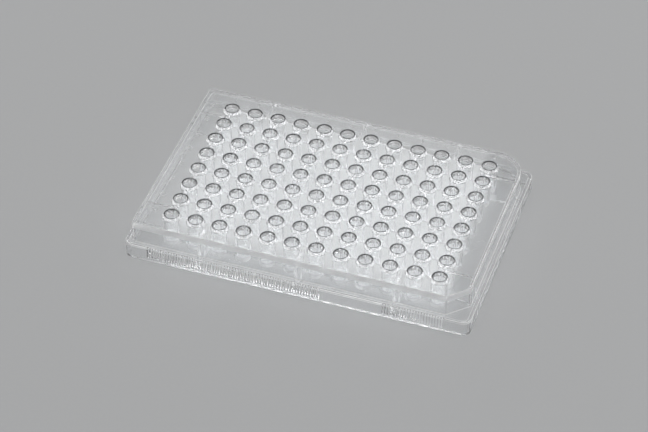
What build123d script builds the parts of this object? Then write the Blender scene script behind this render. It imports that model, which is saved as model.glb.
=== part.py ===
from build123d import *
import math
import os

# A 96-well assay plate with half-area wells, moulded in one piece of clear polystyrene.
# Millimetres, +Z up.  The origin is on the surface that the plate stands on, under its centre.
# Column 1 is at -X and column 12 at +X, row A at +Y and row H at -Y.

# Flange: the footprint and height that microplates share, so that every reader and gripper takes them
footprint_length = 127.76
footprint_width = 85.48
footprint_corner_radius = 3.18
plate_height = 14.35
flange_height = 6.1
flange_wall = 1.3
ledge_thickness = 1.3  # the step between the flange and the upper body

# Upper body, at its foot on the ledge.  Each corner is different, so the plate can't be turned round
body_length = 123.3
body_width = 81.3
body_wall = 1.1
body_draft = 1.5  # degrees that the walls lean in on their way up
deck_thickness = 2.4
corner_a1_radius = 2.2
corner_h1_radius = 1.7
corner_a12_radius = 10.8
corner_h12_chamfer = 6.9

# Wells: bores from the deck down into tubes that hang under it
row_count = 8
column_count = 12
well_pitch = 9.0
well_mouth_diameter = 4.95
well_floor_diameter = 4.5
well_depth = 10.9
well_floor_thickness = 0.85
tube_diameter = 6.3
web_thickness = 0.9  # the webs that tie each tube to its neighbours

# Flats that stand in for each round wall, because 96 true circles would make the mesh far heavier
well_sides = 12
tube_sides = 8

# Ribs from the block of wells out to the walls
rib_thickness = 1.0
rib_foot_height = 1.5
end_rib_spacing = 54.0  # between the two ribs at each end
side_rib_spacing = 36.0  # between neighbours of the three ribs along each side

# Finger grip: bands of upright V grooves in the flange along row H
grip_bands = ((-55.4, 10.2), (32.1, 55.1))  # where each band starts and ends along X
groove_pitch = 1.0
groove_width = 0.7
groove_depth = 0.35
groove_foot_height = 1.2

# Heights and spans that follow from the sizes above
ledge_underside = flange_height - ledge_thickness
deck_underside = plate_height - deck_thickness
tube_foot_height = plate_height - well_depth - well_floor_thickness
column_span = (column_count - 1) * well_pitch
row_span = (row_count - 1) * well_pitch


def well_grid():
    """The centre of every well."""
    return GridLocations(well_pitch, well_pitch, column_count, row_count)


def body_foot():
    """The upper body's outline where it stands on the ledge."""
    outline = Rectangle(body_length, body_width)

    def corner(x_side, y_side):
        return outline.vertices().sort_by_distance((x_side * body_length, y_side * body_width))[0]

    outline = fillet(corner(-1, 1), corner_a1_radius)
    outline = fillet(corner(-1, -1), corner_h1_radius)
    outline = fillet(corner(1, 1), corner_a12_radius)
    return chamfer(corner(1, -1), corner_h12_chamfer)


def body_block(bottom, top, inset=0.0):
    """A block with the body's leaning sides, each set in from the outer surface by inset."""
    lean = math.tan(math.radians(body_draft))
    outline = body_foot()
    growth = (flange_height - bottom) * lean - inset
    if growth:
        outline = offset(outline, growth)
    return extrude(Pos(0, 0, bottom) * outline, top - bottom, taper=body_draft)


def envelope():
    """Everything inside the outer surface: the flange with the upper body on it."""
    footprint = RectangleRounded(footprint_length, footprint_width, footprint_corner_radius)
    return extrude(footprint, flange_height) + body_block(flange_height, plate_height)


def hollow():
    """The space under the deck, open at the bottom."""
    recess = RectangleRounded(
        footprint_length - 2 * flange_wall,
        footprint_width - 2 * flange_wall,
        footprint_corner_radius - flange_wall,
    )
    return extrude(recess, ledge_underside) + body_block(ledge_underside, deck_underside, body_wall)


def round_outline(diameter, sides):
    """A regular polygon with the same area as the circle of this diameter."""
    area_ratio = sides * math.sin(2 * math.pi / sides) / (2 * math.pi)
    return RegularPolygon(diameter / 2 / math.sqrt(area_ratio), sides)


def hang_from_deck(outline, foot_height):
    """Raises an outline from foot_height until it is well into the deck."""
    return extrude(Pos(0, 0, foot_height) * outline, deck_underside + deck_thickness / 2 - foot_height)


def tubes_and_webs():
    """The wells' tubes, tied to one another by webs along every row and column."""
    tube = round_outline(tube_diameter, tube_sides)
    row_web = Rectangle(column_span, web_thickness)
    column_web = Rectangle(web_thickness, row_span)
    outline = Sketch() + well_grid() * tube
    outline += GridLocations(0, well_pitch, 1, row_count) * row_web
    outline += GridLocations(well_pitch, 0, column_count, 1) * column_web
    return hang_from_deck(outline, tube_foot_height)


def ribs():
    """Upright ribs from the outermost webs to the walls, longer than they need to be."""
    end_rib = Rectangle((footprint_length - column_span) / 2, rib_thickness)
    side_rib = Rectangle(rib_thickness, (footprint_width - row_span) / 2)
    end_x = (footprint_length + column_span) / 4
    side_y = (footprint_width + row_span) / 4
    outline = Sketch()
    for side in (-1, 1):
        outline += GridLocations(0, end_rib_spacing, 1, 2) * (Pos(side * end_x, 0) * end_rib)
        outline += GridLocations(side_rib_spacing, 0, 3, 1) * (Pos(0, side * side_y) * side_rib)
    return hang_from_deck(outline, rib_foot_height)


def wells():
    """The bores.  Each narrows to its floor, so one is raised from its mouth and turned over."""
    mouth = round_outline(well_mouth_diameter, well_sides)
    draft = math.degrees(math.atan((well_mouth_diameter - well_floor_diameter) / 2 / well_depth))
    bore = Rot(X=180) * extrude(mouth, well_depth, taper=draft)
    return [Pos(0, 0, plate_height) * place * bore for place in well_grid()]


def grip_grooves():
    """The V grooves, which start above the flange's rim and run out through the ledge."""
    notch = make_face(Polyline((-groove_width / 2, 0), (groove_width / 2, 0), (0, groove_depth), close=True))
    groove = extrude(notch, flange_height - groove_foot_height)
    grooves = []
    for start, end in grip_bands:
        count = int((end - start - groove_width) / groove_pitch) + 1
        band = Pos((start + end) / 2, -footprint_width / 2, groove_foot_height)
        grooves += [band * place * groove for place in GridLocations(groove_pitch, 0, count, 1)]
    return grooves


def well_plate():
    outside = envelope()
    plate = outside - hollow() + tubes_and_webs() + (ribs() & outside)
    return plate - wells() - grip_grooves()


os.makedirs("parts", exist_ok=True)
export_step(well_plate(), "parts/well_plate.step")
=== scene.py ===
"""The looks of a clear polystyrene well plate, on a pale floor under soft studio light."""

import math

import bmesh
import bpy
from mathutils import Matrix, Quaternion, Vector


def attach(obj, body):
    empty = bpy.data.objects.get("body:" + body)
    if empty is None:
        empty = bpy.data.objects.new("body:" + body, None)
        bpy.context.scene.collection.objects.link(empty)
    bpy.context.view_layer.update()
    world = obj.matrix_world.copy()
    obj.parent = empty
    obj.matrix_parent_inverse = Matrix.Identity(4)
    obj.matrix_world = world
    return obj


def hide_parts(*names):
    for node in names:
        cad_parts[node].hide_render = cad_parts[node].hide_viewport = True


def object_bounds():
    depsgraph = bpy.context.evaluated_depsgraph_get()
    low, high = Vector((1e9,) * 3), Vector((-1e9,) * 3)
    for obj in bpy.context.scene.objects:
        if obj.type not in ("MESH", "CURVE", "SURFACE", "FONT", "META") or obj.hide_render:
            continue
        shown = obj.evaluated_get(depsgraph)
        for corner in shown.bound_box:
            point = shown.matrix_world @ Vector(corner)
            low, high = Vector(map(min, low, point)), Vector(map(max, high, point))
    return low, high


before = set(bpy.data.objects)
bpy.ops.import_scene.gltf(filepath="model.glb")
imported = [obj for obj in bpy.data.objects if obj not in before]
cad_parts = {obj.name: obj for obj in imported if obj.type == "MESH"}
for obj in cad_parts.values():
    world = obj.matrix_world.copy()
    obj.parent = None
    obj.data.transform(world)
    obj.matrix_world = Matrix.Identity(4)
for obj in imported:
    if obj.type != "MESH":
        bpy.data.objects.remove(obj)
cad_low, cad_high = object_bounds()

# Sizes are in millimetres, and MM turns them into the scene's metres.
MM = 0.001
NODE = "well_plate"
length, width, height = (cad_high - cad_low) / MM

# Flange and upper body
FOOTPRINT_RADIUS = 3.18
FLANGE_HEIGHT = 6.1
FLANGE_WALL = 1.3
FLANGE_TOP_ROUND = 0.5
FLANGE_FOOT_ROUND = 0.15
LEDGE_THICKNESS = 1.3
BODY_LENGTH = 123.3
BODY_WIDTH = 81.3
BODY_WALL = 1.1
BODY_DRAFT = math.radians(1.5)
BODY_TOP_ROUND = 0.35
BODY_FOOT_ROUND = 0.3
DECK_THICKNESS = 2.4
CORNER_A1_RADIUS = 2.2
CORNER_H1_RADIUS = 1.7
CORNER_A12_RADIUS = 10.8
CORNER_H12_CHAMFER = 6.9
CHAMFER_END_RADIUS = 0.9
INNER_ROUND = 0.3
LEAST_RADIUS = 0.1  # of a corner in an outline that is set in

# Wells, and the tubes, webs and ribs under the deck
ROWS = 8
COLUMNS = 12
PITCH = 9.0
WELL_MOUTH_RADIUS = 2.37
WELL_FLOOR_RADIUS = 2.25
WELL_DEPTH = 10.9
WELL_MOUTH_ROUND = 0.18
WELL_FLOOR_ROUND = 0.3
WELL_FLOOR_THICKNESS = 0.85
TUBE_RADIUS = 3.15
TUBE_FOOT_ROUND = 0.35
TUBE_ROOT_ROUND = 0.4
WEB_THICKNESS = 0.9
RIB_THICKNESS = 1.0
RIB_FOOT_HEIGHT = 1.5
END_RIB_SPACING = 54.0
SIDE_RIB_SPACING = 36.0

# Finger grips: where each band of V-grooves starts and ends along row H, and along both ends
GRIP_BANDS = ((-55.4, 10.2), (32.1, 55.1))
END_GRIP_BANDS = ((-38.6, 38.6),)
GROOVE_PITCH = 1.0
GROOVE_WIDTH = 0.7
GROOVE_DEPTH = 0.35
GROOVE_FOOT_HEIGHT = 1.2

# Moulded marks in the deck
MARK_DEPTH = 0.25
LETTER_SIZE = 3.4
LETTER_X = -56.2
NUMBER_SIZE = 2.6
NUMBER_Y = 36.6
PIN_RADIUS = 1.5
PIN_DEPTH = 0.08
PIN_PLACES = (
    (-57.0, 36.4), (-57.0, 9.0), (-57.0, 0.0), (-57.0, -9.0), (-57.0, -18.0),
    (-18.0, 36.4), (18.0, 36.4), (58.0, 12.6), (58.5, -10.2), (57.8, -14.9),
)

# How finely curves are divided, how far a cutter runs past the face that it opens, the distance
# at which two points become one, and the bend above which an edge is shaded sharp
WELL_STEPS = 44
CORNER_STEPS = 14
ROUND_STEPS = 4
TEXT_STEPS = 4
OVERSHOOT = 1.0
SAME_POINT = 0.0005
SHARP_BEND = math.radians(35)

# The plastic's optics, the polish that varies between two roughnesses, and the ripple in its faces
REFRACTION = 1.59
CLEAR = (0.98, 0.985, 0.99, 1)
# The next tone is painted shade: the wells' rims are painted dark in place of the dark room that
# the real rims show.
RIM_PAINTED_SHADE = (0.004, 0.004, 0.0045, 1)
LAMP_TINT = (0.96, 0.962, 0.964, 1)
POLISH_ROUGHNESS = (0.01, 0.05)
EDGE_ROUGHNESS = 0.6
RIPPLE_STRENGTH = 0.25
RIPPLE_HEIGHT = 0.015

# Haze is the share of white in the clear plastic. PLAIN_HAZE is the plastic's own faint milkiness
# and is everywhere. Each of the others adds painted light to it in its own place: a painted glow on
# the tubes, webs, feet and ribs, which stands in for the light they gather and pipe, and a painted
# highlight along the outer rounds. UNEVENNESS is how much all of it varies.
PLAIN_HAZE = 0.03
TUBE_PAINTED_GLOW = 0.12
WEB_PAINTED_GLOW = 0.35
FEET_PAINTED_GLOW = 0.35
RIB_PAINTED_GLOW = 0.4
ROUND_PAINTED_HIGHLIGHT = 0.8
UNEVENNESS = 0.5

# Where the looks change: how far a mask reaches past what it covers, the ring of painted shade
# round each mouth, and the heights over which a look sets in
MASK_SLACK = 0.1
RIM_RING = 0.2
RIM_SLACK = 0.02
RIM_FADE = 0.08
RIM_DEPTH_FADE = 0.2
DECK_FADE = 0.3
FEET_TOP = 5.0
FEET_FADE = 1.0

# A surface's levelness is 0 where it is upright and 1 where it is level.
UPRIGHT_BELOW = 0.5
ROUND_LEVELNESS = 0.55
ROUND_LEVELNESS_SPREAD = 0.4

# Noise as (waves per metre, detail, roughness), and the values that most of it lies between
FLOW = (90.0, 3.0, 0.5)
POLISH = (420.0, 4.0, 0.6)
RIPPLE = (60.0, 2.0, 0.4)
FLOOR_GRAIN = (900.0, 3.0, 0.5)
NOISE_LOW, NOISE_HIGH = 0.3, 0.75

# The floor, which lies a hair below the plate so that the two faces don't meet, and the world
FLOOR_REACH = 2000.0
FLOOR_DROP = 0.05
FLOOR_COLOUR = (0.47, 0.475, 0.48)
FLOOR_VARIATION = 0.02
FLOOR_ROUGHNESS = 0.7
WORLD_COLOUR = (0.5, 0.5, 0.5, 1)
WORLD_STRENGTH = 0.2

# The camera's place and target, fitted to the photograph's view, and its lens in millimetres
CAMERA_PLACE = Vector((218.776, -694.907, 639.789))
CAMERA_TARGET = Vector((-0.813, -6.679, 7.0))
CAMERA_ROLL = math.radians(1.127)
CAMERA_LENS = 148.976
CAMERA_SENSOR = 36.0

# Light crosses a great many clear faces on its way through the block of wells.
BOUNCES = 32
TRANSPARENT_BOUNCES = 64

column_span = (COLUMNS - 1) * PITCH
row_span = (ROWS - 1) * PITCH
ledge_underside = FLANGE_HEIGHT - LEDGE_THICKNESS
mid_ledge = FLANGE_HEIGHT - LEDGE_THICKNESS / 2
deck_underside = height - DECK_THICKNESS
mid_deck = height - DECK_THICKNESS / 2
well_floor_height = height - WELL_DEPTH
tube_foot_height = well_floor_height - WELL_FLOOR_THICKNESS


# ---- Outlines and simple solids ----

def filleted(corners, radii):
    """The outline through corners, anticlockwise, with each corner rounded to its radius."""
    points = []
    for i, corner in enumerate(corners):
        to_last = (corners[i - 1] - corner).normalized()
        to_next = (corners[(i + 1) % len(corners)] - corner).normalized()
        half_angle = to_last.angle(to_next) / 2
        middle = (to_last + to_next).normalized()
        centre = corner + middle * radii[i] / math.sin(half_angle)
        start = (corner + to_last * radii[i] / math.tan(half_angle)) - centre
        turn = math.pi - 2 * half_angle
        for step in range(CORNER_STEPS + 1):
            points.append(centre + Matrix.Rotation(turn * step / CORNER_STEPS, 2) @ start)
    return points


def footprint(inset):
    """The flange's outline, set in all round."""
    x, y = length / 2 - inset, width / 2 - inset
    corners = [Vector((x, y)), Vector((-x, y)), Vector((-x, -y)), Vector((x, -y))]
    return filleted(corners, [max(FOOTPRINT_RADIUS - inset, LEAST_RADIUS)] * 4)


def body_outline(inset):
    """The upper body's outline at the ledge with its four different corners, set in all round."""
    x, y = BODY_LENGTH / 2 - inset, BODY_WIDTH / 2 - inset
    # The chamfer is set in by as much as the walls, so it takes less off each of them.
    chamfer = CORNER_H12_CHAMFER - inset * (2 - math.sqrt(2))
    corners = [
        (Vector((x, y)), CORNER_A12_RADIUS),
        (Vector((-x, y)), CORNER_A1_RADIUS),
        (Vector((-x, -y)), CORNER_H1_RADIUS),
        (Vector((x - chamfer, -y)), CHAMFER_END_RADIUS),
        (Vector((x, chamfer - y)), CHAMFER_END_RADIUS),
    ]
    places, radii = zip(*corners)
    return filleted(places, [max(radius - inset, LEAST_RADIUS) for radius in radii])


def quarter_turn():
    """Pairs that go from (0, 0) to (1, 1) along a quarter circle, flat first."""
    angles = [math.pi / 2 * step / ROUND_STEPS for step in range(ROUND_STEPS + 1)]
    return [(math.sin(a), 1 - math.cos(a)) for a in angles]


def placed(name, data):
    """A new object in the scene for a mesh, a lamp or a camera."""
    thing = bpy.data.objects.new(name, data)
    bpy.context.scene.collection.objects.link(thing)
    return thing


def mesh_object(name, points, faces):
    """A mesh in the scene from points in millimetres."""
    mesh = bpy.data.meshes.new(name)
    mesh.from_pydata([Vector(point) * MM for point in points], [], faces)
    mesh.validate()
    return placed(name, mesh)


def skin(start, count, rows):
    """The faces of a closed solid through rows of count points each, numbered from start."""
    faces = [tuple(start + i for i in reversed(range(count)))]
    top = start + (rows - 1) * count
    for first in range(start, top, count):
        for i in range(count):
            j = (i + 1) % count
            faces.append((first + i, first + j, first + count + j, first + count + i))
    faces.append(tuple(range(top, top + count)))
    return faces


def loft(name, rows):
    """A closed solid through rows of (outline, height), from the bottom up."""
    points = [(*point, z) for outline, z in rows for point in outline]
    return mesh_object(name, points, skin(0, len(rows[0][0]), len(rows)))


def turned(name, profile, places):
    """Copies of one solid of revolution, whose profile runs from its foot to its top."""
    points, faces = [], []
    ring = [math.tau * step / WELL_STEPS for step in range(WELL_STEPS)]
    for x, y in places:
        faces += skin(len(points), WELL_STEPS, len(profile))
        for radius, z in profile:
            points += [(x + radius * math.cos(a), y + radius * math.sin(a), z) for a in ring]
    return mesh_object(name, points, faces)


def prisms(name, outlines):
    """Closed prisms, each from the points of its two ends, in matching order."""
    points, faces = [], []
    for near, far in outlines:
        faces += [face[::-1] for face in skin(len(points), len(near), 2)]
        points += near + far
    return mesh_object(name, points, faces)


# ---- The parts of the moulding ----

def lean(z):
    """How far the body's walls have leaned in at a height above the ledge."""
    return (z - FLANGE_HEIGHT) * math.tan(BODY_DRAFT)


def rounded_top(outline, inset_at, top, rounding):
    """Rows of (outline, height) up the round at the top edge of a block or a hollow."""
    rows = []
    for up, inward in quarter_turn():
        z = top - rounding * (1 - up)
        rows.append((outline(inset_at(z) + rounding * inward), z))
    return rows


def flange_block():
    """The flange with its rounded edges, still solid."""
    rows = [(footprint(FLANGE_FOOT_ROUND), 0.0), (footprint(0), FLANGE_FOOT_ROUND)]
    rows += rounded_top(footprint, lambda z: 0.0, FLANGE_HEIGHT, FLANGE_TOP_ROUND)
    return loft("flange", rows)


def body_block():
    """The upper body with its rounded edges, still solid, from inside the ledge up."""
    rows = [(body_outline(-BODY_FOOT_ROUND), mid_ledge)]
    for along, up in quarter_turn():
        outline = body_outline(-BODY_FOOT_ROUND * (1 - along))
        rows.append((outline, FLANGE_HEIGHT + BODY_FOOT_ROUND * up))
    return loft("body", rows + rounded_top(body_outline, lean, height, BODY_TOP_ROUND))


def recess():
    """The hollow inside the flange, which runs out below the rim."""
    rows = [(footprint(FLANGE_WALL), -OVERSHOOT)]
    rows += rounded_top(footprint, lambda z: FLANGE_WALL, ledge_underside, INNER_ROUND)
    return loft("recess", rows)


def cavity():
    """The hollow inside the upper body, up to the deck's underside."""
    def inset_at(z):
        return BODY_WALL + lean(z)

    foot = ledge_underside - OVERSHOOT
    rows = [(body_outline(inset_at(foot)), foot)]
    return loft("cavity", rows + rounded_top(body_outline, inset_at, deck_underside, INNER_ROUND))


def well_places():
    """The centres of the ninety-six wells, row by row."""
    for row in range(ROWS):
        for column in range(COLUMNS):
            yield column * PITCH - column_span / 2, row * PITCH - row_span / 2


def flared(foot, mouth, top):
    """A profile with a rounded foot and a mouth that spreads, each a (radius, height, round)."""
    radius, z, rounding = foot
    profile = [(radius - rounding * (1 - out), z + rounding * up) for out, up in quarter_turn()]
    radius, z, rounding = mouth
    profile += [(radius + rounding * out, z - rounding * (1 - up)) for up, out in quarter_turn()]
    return profile + [(radius + rounding, top)]


def tubes():
    """The tubes under the deck, with a rounded foot and a root that spreads into the deck."""
    foot = (TUBE_RADIUS, tube_foot_height, TUBE_FOOT_ROUND)
    root = (TUBE_RADIUS, deck_underside, TUBE_ROOT_ROUND)
    return turned("tubes", flared(foot, root, mid_deck), well_places())


def wells():
    """The bores, with a rounded floor and a mouth that rolls over into the deck."""
    floor_edge = (WELL_FLOOR_RADIUS, well_floor_height, WELL_FLOOR_ROUND)
    mouth = (WELL_MOUTH_RADIUS, height, WELL_MOUTH_ROUND)
    return turned("wells", flared(floor_edge, mouth, height + OVERSHOOT), well_places())


def webs(along_rows):
    """The webs between the tubes, along every row or down every column."""
    outlines = []
    half = WEB_THICKNESS / 2
    for i in range(ROWS if along_rows else COLUMNS):
        if along_rows:
            middle = i * PITCH - row_span / 2
            (x0, y0), (x1, y1) = (-column_span / 2, middle - half), (column_span / 2, middle + half)
        else:
            middle = i * PITCH - column_span / 2
            (x0, y0), (x1, y1) = (middle - half, -row_span / 2), (middle + half, row_span / 2)
        base = [(x0, y0), (x0, y1), (x1, y1), (x1, y0)]
        outlines.append([[(x, y, z) for x, y in base] for z in (tube_foot_height, mid_deck)])
    return prisms("webs", outlines)


def rib_profile(inner, flange_face, body_face):
    """A rib's outline as (distance from the centre, height): its ends are buried in the walls."""
    flange_end = flange_face + FLANGE_WALL / 2
    body_end = body_face + BODY_WALL / 2
    return [
        (inner, RIB_FOOT_HEIGHT),
        (flange_end, RIB_FOOT_HEIGHT),
        (flange_end, mid_ledge),
        (body_end, mid_ledge),
        (body_end - lean(mid_deck), mid_deck),
        (inner, mid_deck),
    ]


def ribs():
    """The ribs from the outermost tubes to the walls: two at each end, three along each side."""
    outlines = []
    thicknesses = (-RIB_THICKNESS / 2, RIB_THICKNESS / 2)
    end = rib_profile(column_span / 2, length / 2 - FLANGE_WALL, BODY_LENGTH / 2 - BODY_WALL)
    side = rib_profile(row_span / 2, width / 2 - FLANGE_WALL, BODY_WIDTH / 2 - BODY_WALL)
    for sign in (-1, 1):
        for y in (-END_RIB_SPACING / 2, END_RIB_SPACING / 2):
            outlines.append([[(sign * x, y + sign * t, z) for x, z in end] for t in thicknesses])
        for x in (-SIDE_RIB_SPACING, 0, SIDE_RIB_SPACING):
            outlines.append([[(x - sign * t, sign * y, z) for y, z in side] for t in thicknesses])
    return prisms("ribs", outlines)


def grip_grooves():
    """Upright V-grooves in the flange: two bands along row H, and one along each end."""
    outlines = []
    heights = (FLANGE_HEIGHT + OVERSHOOT, GROOVE_FOOT_HEIGHT)
    spread = GROOVE_WIDTH / 2 / GROOVE_DEPTH * OVERSHOOT
    sides = (
        (GRIP_BANDS, -width / 2, Matrix.Identity(2)),
        (END_GRIP_BANDS, -length / 2, Matrix.Rotation(-math.pi / 2, 2)),
        (END_GRIP_BANDS, -length / 2, Matrix.Rotation(math.pi / 2, 2)),
    )
    for bands, face, turn in sides:
        tip = face + GROOVE_DEPTH
        outside = tip - OVERSHOOT
        for start, end in bands:
            count = int((end - start - GROOVE_WIDTH) / GROOVE_PITCH) + 1
            for i in range(count):
                along = (start + end) / 2 + (i - (count - 1) / 2) * GROOVE_PITCH
                notch = (along - spread, outside), (along + spread, outside), (along, tip)
                notch = [turn @ Vector(point) for point in notch]
                outlines.append([[(*point, z) for point in notch] for z in heights])
    return prisms("grooves", outlines)


def marks():
    """Cutters for the row letters and column numbers, as one closed mesh."""
    places = [(chr(ord("A") + row), LETTER_SIZE, LETTER_X, row_span / 2 - row * PITCH)
              for row in range(ROWS)]
    places += [(str(column + 1), NUMBER_SIZE, column * PITCH - column_span / 2, NUMBER_Y)
               for column in range(COLUMNS)]
    cutters = bmesh.new()
    for text, size, x, y in places:
        curve = bpy.data.curves.new("mark", "FONT")
        curve.body = text
        curve.size = size * MM
        curve.align_x = curve.align_y = "CENTER"
        curve.extrude = MARK_DEPTH * MM
        curve.resolution_u = TEXT_STEPS
        writing = bpy.data.objects.new("mark", curve)
        mesh = bpy.data.meshes.new_from_object(writing)
        mesh.transform(Matrix.Translation(Vector((x, y, height)) * MM))
        cutters.from_mesh(mesh)
        bpy.data.objects.remove(writing)
        bpy.data.meshes.remove(mesh)
        bpy.data.curves.remove(curve)
    bmesh.ops.remove_doubles(cutters, verts=cutters.verts, dist=SAME_POINT * MM)
    bmesh.ops.recalc_face_normals(cutters, faces=cutters.faces)
    mesh = bpy.data.meshes.new("marks")
    cutters.to_mesh(mesh)
    cutters.free()
    return placed("marks", mesh)


def pin_marks():
    """Cutters for the shallow round marks of the mould's ejector pins."""
    profile = [(PIN_RADIUS, height - PIN_DEPTH), (PIN_RADIUS, height + OVERSHOOT)]
    return turned("pin_marks", profile, PIN_PLACES)


def moulding():
    """The whole plate as one closed mesh."""
    plate = flange_block()
    steps = [
        ("UNION", body_block()),
        ("DIFFERENCE", recess()),
        ("DIFFERENCE", cavity()),
        ("UNION", tubes()),
        ("UNION", webs(along_rows=True)),
        ("UNION", webs(along_rows=False)),
        ("UNION", ribs()),
        ("DIFFERENCE", wells()),
        ("DIFFERENCE", grip_grooves()),
        ("DIFFERENCE", marks()),
        ("DIFFERENCE", pin_marks()),
    ]
    for operation, other in steps:
        modifier = plate.modifiers.new(other.name, "BOOLEAN")
        modifier.operation = operation
        modifier.solver = "MANIFOLD"
        modifier.object = other
    depsgraph = bpy.context.evaluated_depsgraph_get()
    mesh = bpy.data.meshes.new_from_object(plate.evaluated_get(depsgraph))
    for _, other in steps:
        bpy.data.objects.remove(other)
    bpy.data.objects.remove(plate)
    mesh.name = "moulded_plate"
    return placed("moulded_plate", mesh)


def shade(thing):
    """Smooth over the rounds only: large faces keep their own normals."""
    for face in thing.data.polygons:
        face.use_smooth = True
    thing.data.set_sharp_from_angle(angle=SHARP_BEND)
    weighted = thing.modifiers.new("weighted", "WEIGHTED_NORMAL")
    weighted.keep_sharp = True


# ---- Shader nodes ----

# A Mix node has sockets for every kind of data, and these are the colour ones.
COLOUR_A, COLOUR_B, COLOUR_RESULT = 6, 7, 2


def node(tree, kind, inputs=None, **settings):
    """A new shader node. Settings name its properties, and inputs gives numbers to its sockets."""
    thing = tree.nodes.new(kind)
    for socket, value in (inputs or {}).items():
        thing.inputs[socket].default_value = value
    for name, value in settings.items():
        setattr(thing, name, value)
    return thing


def maths(tree, operation, *values):
    """A Math node's result. Each of its inputs is a number or another node's socket."""
    thing = node(tree, "ShaderNodeMath", operation=operation)
    for i, value in enumerate(values):
        if isinstance(value, bpy.types.NodeSocket):
            tree.links.new(value, thing.inputs[i])
        else:
            thing.inputs[i].default_value = value
    return thing.outputs["Value"]


def product(tree, first, *others):
    """Numbers and sockets multiplied together."""
    for other in others:
        first = maths(tree, "MULTIPLY", first, other)
    return first


def ramp(tree, value, start, end, low=0.0, high=1.0):
    """A smooth step of a socket's value from low, at start, to high, at end."""
    thing = node(tree, "ShaderNodeMapRange", interpolation_type="SMOOTHSTEP",
                 inputs={"From Min": start, "From Max": end, "To Min": low, "To Max": high})
    tree.links.new(value, thing.inputs["Value"])
    return thing.outputs["Result"]


def noise(tree, where, scale, detail, roughness):
    """A noise texture's value at a place."""
    texture = node(tree, "ShaderNodeTexNoise",
                   inputs={"Scale": scale, "Detail": detail, "Roughness": roughness})
    tree.links.new(where, texture.inputs["Vector"])
    return texture.outputs["Fac"]


def mixed_colour(tree, factor, first, second):
    """A colour that goes from the first to the second as the factor's socket goes from 0 to 1."""
    mix = node(tree, "ShaderNodeMix", {COLOUR_A: first, COLOUR_B: second}, data_type="RGBA")
    tree.links.new(factor, mix.inputs[0])
    return mix.outputs[COLOUR_RESULT]


def mixed_shader(tree, factor, first, second):
    """A shader that goes from the first to the second as the factor's socket goes from 0 to 1."""
    mix = node(tree, "ShaderNodeMixShader")
    for socket, value in zip(mix.inputs, (factor, first, second)):
        tree.links.new(value, socket)
    return mix.outputs["Shader"]


def new_material(name):
    """A material, its node tree and its main shader."""
    material = bpy.data.materials.new(name)
    material.use_nodes = True
    return material, material.node_tree, material.node_tree.nodes["Principled BSDF"]


# ---- Places on the plate: a mask is 1 on one part of its surface and 0 elsewhere ----

def in_block(tree, x, y):
    """1 over the block of wells and tubes and 0 over the margins round it."""
    return product(tree, *(
        maths(tree, "LESS_THAN", maths(tree, "ABSOLUTE", axis), (span + PITCH) / 2 * MM)
        for axis, span in ((x, column_span), (y, row_span))))


def from_well(tree, x, y):
    """How far a point is from the nearest row of wells, and from the nearest well's axis."""
    dx, dy = (
        maths(tree, "SUBTRACT", maths(tree, "WRAP", axis, PITCH * MM, 0.0), PITCH / 2 * MM)
        for axis in (x, y))
    squares = (maths(tree, "MULTIPLY", axis, axis) for axis in (dx, dy))
    return maths(tree, "ABSOLUTE", dy), maths(tree, "SQRT", maths(tree, "ADD", *squares))


def mouth_rims(tree, radius, z):
    """1 on the rounded rims of the wells' mouths and on a thin ring round them, where shade is
    painted.
    """
    outer = WELL_MOUTH_RADIUS + WELL_MOUTH_ROUND + RIM_RING
    inner = WELL_MOUTH_RADIUS - RIM_SLACK
    low = height - WELL_MOUTH_ROUND
    return product(tree, ramp(tree, radius, (outer + RIM_FADE) * MM, outer * MM),
                   ramp(tree, radius, (inner - RIM_FADE) * MM, inner * MM),
                   ramp(tree, z, (low - RIM_DEPTH_FADE) * MM, low * MM))


def levelness(tree):
    """0 on upright faces, 1 on level ones and between them on the rounds."""
    facing = node(tree, "ShaderNodeSeparateXYZ")
    normal = node(tree, "ShaderNodeNewGeometry").outputs["Normal"]
    tree.links.new(normal, facing.inputs["Vector"])
    return maths(tree, "ABSOLUTE", facing.outputs["Z"])


def upright(tree):
    """1 on upright faces."""
    return maths(tree, "LESS_THAN", levelness(tree), UPRIGHT_BELOW)


def rounds(tree):
    """1 on the rounds between upright and level faces."""
    return maths(tree, "COMPARE", levelness(tree), ROUND_LEVELNESS, ROUND_LEVELNESS_SPREAD)


def row_webs(tree, from_row, radius):
    """1 on the webs along the rows, between one tube and the next."""
    return product(tree, maths(tree, "LESS_THAN", from_row, (WEB_THICKNESS / 2 + MASK_SLACK) * MM),
                   maths(tree, "GREATER_THAN", radius, (TUBE_RADIUS + MASK_SLACK) * MM))


def tube_feet(tree, radius, z):
    """1 at the tubes' feet, apart from the wells' floors and what is under them."""
    around = maths(tree, "GREATER_THAN", radius, (WELL_FLOOR_RADIUS + MASK_SLACK) * MM)
    walls = maths(tree, "MAXIMUM", upright(tree), around)
    return product(tree, walls, ramp(tree, z, FEET_TOP * MM, (FEET_TOP - FEET_FADE) * MM))


def side_ribs(tree, x, y):
    """1 on the ribs between the outer rows' tubes and the long walls."""
    half_spacing = SIDE_RIB_SPACING / 2 * MM
    along = maths(tree, "WRAP", maths(tree, "ADD", x, half_spacing), SIDE_RIB_SPACING * MM, 0.0)
    beside = maths(tree, "ABSOLUTE", maths(tree, "SUBTRACT", along, half_spacing))
    out = maths(tree, "ABSOLUTE", y)
    return product(
        tree,
        maths(tree, "LESS_THAN", beside, (RIB_THICKNESS / 2 + MASK_SLACK) * MM),
        maths(tree, "GREATER_THAN", out, (row_span / 2 + TUBE_RADIUS) * MM),
        maths(tree, "LESS_THAN", out, (BODY_WIDTH / 2 - BODY_WALL - INNER_ROUND) * MM))


def deck_edge(tree, z):
    """1 on the body's walls where the deck meets them."""
    beside_deck = ramp(tree, z, (deck_underside - DECK_FADE) * MM, deck_underside * MM)
    return product(tree, upright(tree), beside_deck)


# ---- Materials ----

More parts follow.
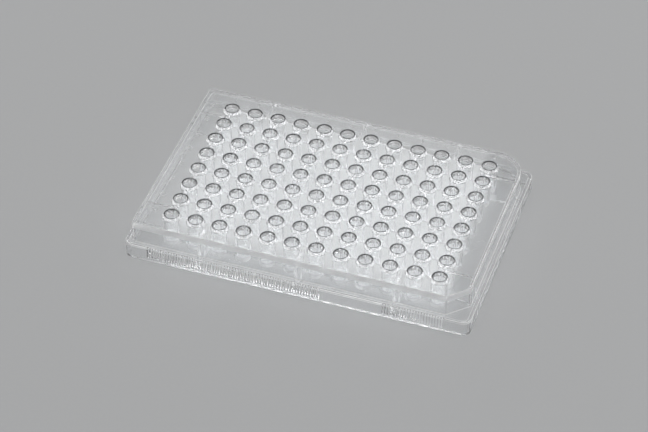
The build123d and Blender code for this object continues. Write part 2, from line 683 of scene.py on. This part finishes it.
def lit_through(tree, shader, outside_block):
    """The plastic's shader, but lamps shine straight through it and dim a little at each wall.

    Light from the floor goes straight through the margins too, because paths bent there on their
    way to a lamp would light the floor twice.
    """
    through = node(tree, "ShaderNodeBsdfTransparent", inputs={"Color": LAMP_TINT}).outputs["BSDF"]
    path = node(tree, "ShaderNodeLightPath")
    lit = mixed_shader(tree, path.outputs["Is Shadow Ray"], shader.outputs["BSDF"], through)
    margins = mixed_shader(tree, outside_block, lit, through)
    return mixed_shader(tree, path.outputs["Is Diffuse Ray"], lit, margins)


def polystyrene():
    """Clear polystyrene: polished and faintly milky, with painted light: a painted glow where light
    crosses many walls, painted highlights on the outer rounds and painted shade on the wells' rims.
    """
    material, tree, shader = new_material("clear_polystyrene")
    shader.inputs["IOR"].default_value = REFRACTION
    where = node(tree, "ShaderNodeTexCoord").outputs["Object"]
    axes = node(tree, "ShaderNodeSeparateXYZ")
    tree.links.new(where, axes.inputs["Vector"])
    x, y, z = axes.outputs
    from_row, radius = from_well(tree, x, y)
    block = in_block(tree, x, y)
    outside_block = maths(tree, "SUBTRACT", 1.0, block)
    under_deck = ramp(tree, z, deck_underside * MM, (deck_underside - DECK_FADE) * MM)
    down_tubes = ramp(tree, z, deck_underside * MM, tube_foot_height * MM)

    # The mouths' rims get painted shade: the real rims show the dark room round the plate, and this
    # painted dark tone stands in for it.
    rims = product(tree, mouth_rims(tree, radius, z), block)
    colour = mixed_colour(tree, rims, CLEAR, RIM_PAINTED_SHADE)

    # Painted light: on top of the plain milkiness, the tubes, webs, feet and ribs get a painted
    # glow and the outer rounds a painted highlight.
    haze_and_painted_light = PLAIN_HAZE
    for share, *masks in (
        (TUBE_PAINTED_GLOW, down_tubes, block),
        (WEB_PAINTED_GLOW, row_webs(tree, from_row, radius), under_deck, block),
        (FEET_PAINTED_GLOW, tube_feet(tree, radius, z), block),
        (RIB_PAINTED_GLOW, side_ribs(tree, x, y), under_deck),
        (ROUND_PAINTED_HIGHLIGHT, rounds(tree), outside_block),
    ):
        haze_and_painted_light = maths(tree, "MULTIPLY_ADD", product(tree, *masks), share, haze_and_painted_light)
    flow = noise(tree, where, *FLOW)
    uneven = maths(tree, "MULTIPLY_ADD", flow, UNEVENNESS, 1 - UNEVENNESS / 2)
    haze_and_painted_light = maths(tree, "MINIMUM", maths(tree, "MULTIPLY", haze_and_painted_light, uneven), 1.0)

    # Where the deck's edge meets the walls it is rougher, so that it glows evenly.
    polish = ramp(tree, noise(tree, where, *POLISH), NOISE_LOW, NOISE_HIGH, *POLISH_ROUGHNESS)
    edge = product(tree, deck_edge(tree, z), outside_block)
    roughness = maths(tree, "MULTIPLY_ADD", edge, EDGE_ROUGHNESS, polish)

    bump = node(tree, "ShaderNodeBump",
                inputs={"Strength": RIPPLE_STRENGTH, "Distance": RIPPLE_HEIGHT * MM})
    tree.links.new(noise(tree, where, *RIPPLE), bump.inputs["Height"])

    for socket, value in (
        ("Base Color", colour),
        ("Transmission Weight", maths(tree, "SUBTRACT", 1.0, haze_and_painted_light)),
        ("Roughness", roughness),
        ("Normal", bump.outputs["Normal"]),
    ):
        tree.links.new(value, shader.inputs[socket])
    surface = lit_through(tree, shader, outside_block)
    tree.links.new(surface, tree.nodes["Material Output"].inputs["Surface"])
    return material


def floor_material():
    """The floor's plain pale colour, with a fine grain."""
    material, tree, shader = new_material("floor")
    shader.inputs["Roughness"].default_value = FLOOR_ROUGHNESS
    grain = noise(tree, node(tree, "ShaderNodeTexCoord").outputs["Object"], *FLOOR_GRAIN)
    darker, lighter = ((*(level * part for part in FLOOR_COLOUR), 1)
                       for level in (1 - FLOOR_VARIATION, 1 + FLOOR_VARIATION))
    tree.links.new(mixed_colour(tree, grain, darker, lighter), shader.inputs["Base Color"])
    return material


# ---- The plate and the floor ----

plate = moulding()
shade(plate)
plate.data.materials.clear()
plate.data.materials.append(polystyrene())
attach(plate, "root")
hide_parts(NODE)

floor_corners = [(x * FLOOR_REACH, y * FLOOR_REACH, -FLOOR_DROP)
                 for x, y in ((-1, -1), (1, -1), (1, 1), (-1, 1))]
floor = mesh_object("floor", floor_corners, [(0, 1, 2, 3)])
floor.data.materials.append(floor_material())


# ---- Light, in metres and watts ----

def aim(thing, place, target, roll=0.0):
    """Turns a lamp or a camera from its place towards a target, upright apart from its roll."""
    thing.rotation_mode = "QUATERNION"
    look = (Vector(target) - Vector(place)).to_track_quat("-Z", "Y")
    thing.rotation_quaternion = look @ Quaternion((0, 0, 1), roll)


def softbox(name, power, size, place, target=(0, 0, 0)):
    """An area lamp that faces its target."""
    light = bpy.data.lights.new(name, "AREA")
    light.shape = "RECTANGLE"
    light.size, light.size_y = size
    light.energy = power
    thing = placed(name, light)
    thing.location = place
    aim(thing, place, target)
    return light


def fade_out(light, bright_at, reach):
    """Fades a lamp out from its brightest place. Place and reach are parts of the lamp's sides."""
    light.use_nodes = True
    tree = light.node_tree
    offset = node(tree, "ShaderNodeVectorMath", operation="SUBTRACT", inputs={1: (*bright_at, 0)})
    distance = node(tree, "ShaderNodeVectorMath", operation="LENGTH")
    across = node(tree, "ShaderNodeNewGeometry").outputs["Parametric"]
    tree.links.new(across, offset.inputs[0])
    tree.links.new(offset.outputs["Vector"], distance.inputs[0])
    strength = ramp(tree, distance.outputs["Value"], reach, 0.0)
    tree.links.new(strength, tree.nodes["Emission"].inputs["Strength"])


back = softbox("back", 3.0, (0.8, 0.9), (-0.634, 0.95, 1.25), target=(-0.634, 0, 0))
fade_out(back, bright_at=(0.0, 0.5), reach=0.8)
softbox("overhead", 23, (2.6, 2.0), (0, 0.1, 1.7))
softbox("right", 2.2, (0.7, 0.16), (0.7, 0.75, 0.4))
softbox("left", 2, (0.7, 0.16), (-0.85, 0.85, 0.3))
softbox("front", 3.5, (1.6, 0.12), (0.25, -1.1, 1.15))

world = bpy.data.worlds.new("studio")
bpy.context.scene.world = world
world.use_nodes = True
background = world.node_tree.nodes["Background"]
background.inputs["Color"].default_value = WORLD_COLOUR
background.inputs["Strength"].default_value = WORLD_STRENGTH


# ---- The photograph's view ----

camera = placed("camera", bpy.data.cameras.new("camera"))
camera.data.sensor_width = CAMERA_SENSOR
camera.data.lens = CAMERA_LENS
camera.location = CAMERA_PLACE * MM
aim(camera, CAMERA_PLACE, CAMERA_TARGET, CAMERA_ROLL)
bpy.context.scene.camera = camera
bpy.context.scene.view_settings.view_transform = "Standard"
cycles = bpy.context.scene.cycles
cycles.max_bounces = cycles.glossy_bounces = cycles.transmission_bounces = BOUNCES
cycles.transparent_max_bounces = TRANSPARENT_BOUNCES
